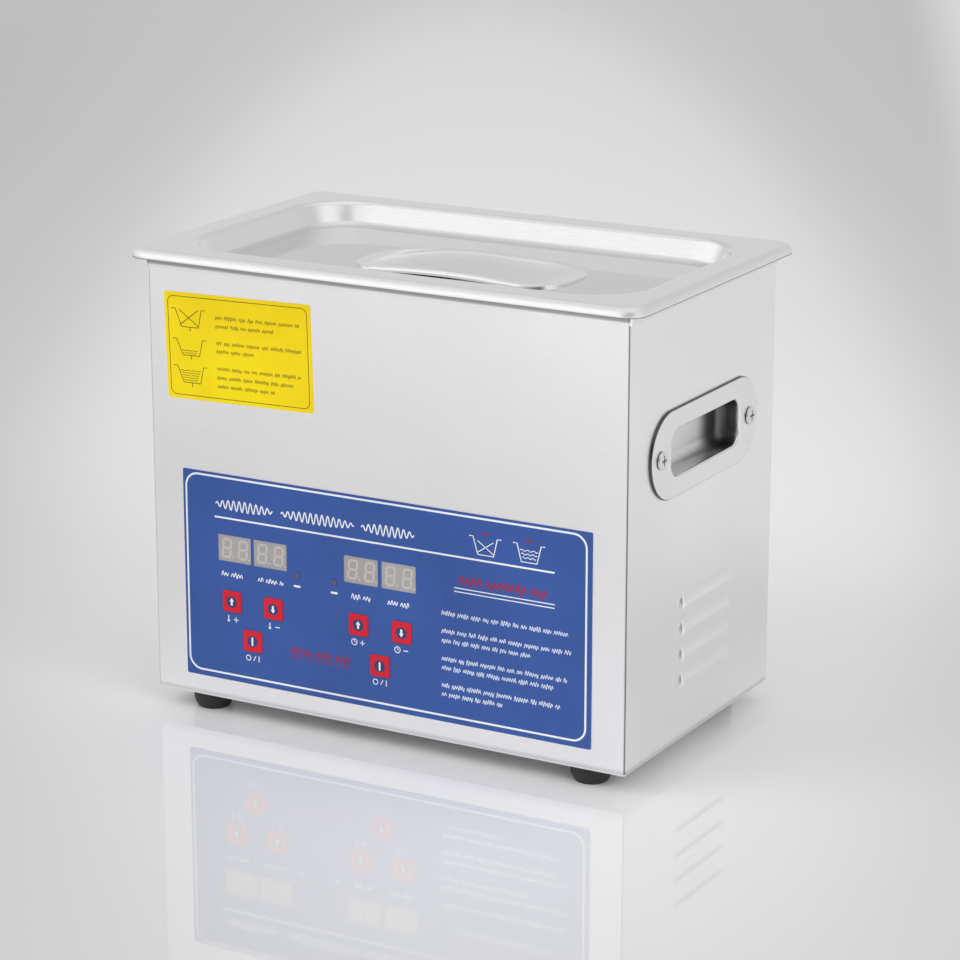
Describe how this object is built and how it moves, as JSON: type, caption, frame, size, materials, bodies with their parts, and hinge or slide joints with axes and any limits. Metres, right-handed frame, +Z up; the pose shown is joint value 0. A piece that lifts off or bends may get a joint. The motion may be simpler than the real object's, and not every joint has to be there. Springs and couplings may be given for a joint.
{
  "type": "ultrasonic cleaner",
  "caption": "Bench-top ultrasonic cleaner: stainless box with a heated tank, lift-off recessed lid, basket, finger pockets and a front panel with push keys and digit displays.",
  "frame": {"origin": "on the bench, below the middle of the casing", "axes": "+Z up, front panel faces -Y, long side along X"},
  "size_m": [0.265, 0.165, 0.2235],
  "materials": {
    "brushed_stainless": "satin stainless sheet with a fine level grain",
    "polished_stainless": "polished stainless sheet",
    "lid_stainless": "polished pressed stainless",
    "basket_stainless": "electropolished stainless",
    "zinc_steel": "plated steel",
    "black_rubber": "moulded matte rubber",
    "blue_overlay": "semi-gloss printed polyester",
    "clear_window": "clear printed window",
    "display_grey": "grey filled epoxy face",
    "lamp_lens": "tinted lamp resin",
    "red_key": "satin red keycap",
    "yellow_sticker": "coated printed vinyl",
    "circuit_board": "green solder mask",
    "black_plastic": "fine moulded texture",
    "nylon_white": "natural nylon",
    "bare_aluminium": "machined",
    "ferrite": "ferrite ceramic",
    "copper_wire": "enamelled copper windings",
    "copper_alloy": "tinned contact alloy",
    "piezo_ceramic": "fired piezo ceramic",
    "capacitor_sleeve": "shrink sleeve",
    "silicone_pad": "silicone heater pad",
    "fuse_glass": "glass fuse tube",
    "rocker_red": "gloss rocker"
  },
  "bodies": {
    "housing": {"casing": "brushed_stainless", "base_plate": "brushed_stainless", "tank": "polished_stainless", "flange_gasket": "black_rubber", "foot_front_left": "black_rubber", "foot_front_right": "black_rubber", "foot_rear_left": "black_rubber", "foot_rear_right": "black_rubber", "foot_screws": "zinc_steel", "m4_nuts": "zinc_steel", "base_nuts": "zinc_steel", "m3_screws": "zinc_steel", "handle_screws": "zinc_steel", "fan_screws": "zinc_steel", "inlet_screws": "zinc_steel", "handle_left": "polished_stainless", "handle_right": "polished_stainless", "panel_overlay": "blue_overlay", "display_windows": "clear_window", "display_temp_set": "display_grey", "display_temp_actual": "display_grey", "display_minutes": "display_grey", "display_seconds": "display_grey", "indicator_lamps": "lamp_lens", "info_label": "yellow_sticker", "control_board": "circuit_board", "generator_board": "circuit_board", "control_parts": "black_plastic", "tact_switches": "black_plastic", "board_standoffs": "nylon_white", "heat_sink": "bare_aluminium", "power_transistors": "black_plastic", "transformer_core": "ferrite", "windings": "copper_wire", "capacitors": "capacitor_sleeve", "transducer_horns": "bare_aluminium", "piezo_rings": "piezo_ceramic", "electrodes": "copper_alloy", "transducer_backings": "zinc_steel", "transducer_bolts": "zinc_steel", "heating_pad": "silicone_pad", "temperature_sensor": "black_plastic", "fan_frame": "black_plastic", "mains_inlet": "black_plastic", "mains_contacts": "copper_alloy", "switch_housing": "black_plastic"},
    "lid_body": {"lid": "lid_stainless", "lid_grip": "lid_stainless"},
    "basket_body": {"basket": "basket_stainless", "basket_hoops": "basket_stainless"},
    "rotor_body": {"fan_rotor": "black_plastic"},
    "drawer_body": {"fuse_drawer": "black_plastic", "fuse": "fuse_glass"},
    "rocker_body": {"power_rocker": "rocker_red"},
    "key_temp_up_body": {"key_temp_up": "red_key"},
    "key_temp_down_body": {"key_temp_down": "red_key"},
    "key_heat_body": {"key_heat": "red_key"},
    "key_time_up_body": {"key_time_up": "red_key"},
    "key_time_down_body": {"key_time_down": "red_key"},
    "key_sonic_body": {"key_sonic": "red_key"}
  },
  "joints": [
    {"name": "lid_lift", "type": "slide", "parent": "housing", "child": "lid_body", "axis": [0, 0, 1], "range_m": [0, 0.25]},
    {"name": "basket_lift", "type": "slide", "parent": "housing", "child": "basket_body", "axis": [0, 0, 1], "range_m": [0, 0.125]},
    {"name": "fan_spin", "type": "hinge", "parent": "housing", "child": "rotor_body", "pos_m": [-0.06, 0.0667, 0.062], "axis": [0, 1, 0], "continuous": true},
    {"name": "fuse_drawer_slide", "type": "slide", "parent": "housing", "child": "drawer_body", "axis": [0, 1, 0], "range_m": [0, 0.022]},
    {"name": "power_rocker_tilt", "type": "hinge", "parent": "housing", "child": "rocker_body", "pos_m": [0.07, 0.0705, 0.098], "axis": [1, 0, 0], "range_deg": [0, 24]},
    {"name": "key_temp_up_press", "type": "slide", "parent": "housing", "child": "key_temp_up_body", "axis": [0, 1, 0], "range_m": [0, 0.0005], "stiffness_N_per_m": 1200},
    {"name": "key_temp_down_press", "type": "slide", "parent": "housing", "child": "key_temp_down_body", "axis": [0, 1, 0], "range_m": [0, 0.0005], "stiffness_N_per_m": 1200},
    {"name": "key_heat_press", "type": "slide", "parent": "housing", "child": "key_heat_body", "axis": [0, 1, 0], "range_m": [0, 0.0005], "stiffness_N_per_m": 1200},
    {"name": "key_time_up_press", "type": "slide", "parent": "housing", "child": "key_time_up_body", "axis": [0, 1, 0], "range_m": [0, 0.0005], "stiffness_N_per_m": 1200},
    {"name": "key_time_down_press", "type": "slide", "parent": "housing", "child": "key_time_down_body", "axis": [0, 1, 0], "range_m": [0, 0.0005], "stiffness_N_per_m": 1200},
    {"name": "key_sonic_press", "type": "slide", "parent": "housing", "child": "key_sonic_body", "axis": [0, 1, 0], "range_m": [0, 0.0005], "stiffness_N_per_m": 1200}
  ],
  "couplings": [
    {"joint": "basket_lift", "follows": "lid_lift", "ratio": 0.5}
  ]
}
